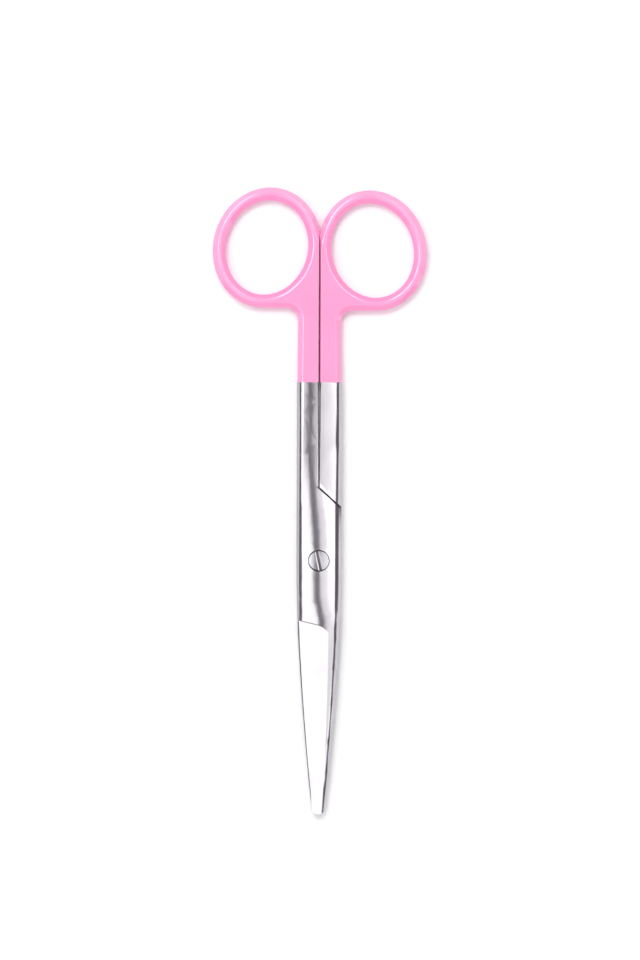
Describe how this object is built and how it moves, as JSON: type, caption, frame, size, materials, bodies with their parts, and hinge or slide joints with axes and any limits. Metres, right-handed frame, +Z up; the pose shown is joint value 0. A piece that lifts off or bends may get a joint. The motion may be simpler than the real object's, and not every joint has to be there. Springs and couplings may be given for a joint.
{
  "type": "dissecting scissors",
  "caption": "Straight surgical dissecting scissors with blunt tips, a slotted joint screw, a lap joint and enamelled finger rings on bare steel shanks.",
  "frame": {"origin": "on the axis of the joint screw, in the plane of the flat ground on the rear half, which the scissors lie on", "axes": "+X to the right across the closed scissors, +Y from the tips towards the finger rings, +Z up along the joint screw, out of its slotted head"},
  "size_m": [0.0582, 0.1702, 0.0055],
  "materials": {
    "steel": "satin ground stainless steel",
    "screw_steel": "turned stainless steel",
    "enamel": "glossy pink enamel"
  },
  "bodies": {
    "rear": {"rear_half": "steel", "rear_handle_coating": "enamel", "pivot_screw": "screw_steel"},
    "front": {"front_half": "steel", "front_handle_coating": "enamel"}
  },
  "joints": [
    {"name": "open", "type": "hinge", "parent": "rear", "child": "front", "pos_m": [0, 0, 0.00268], "axis": [0, 0, 1], "range_deg": [0, 100]}
  ]
}
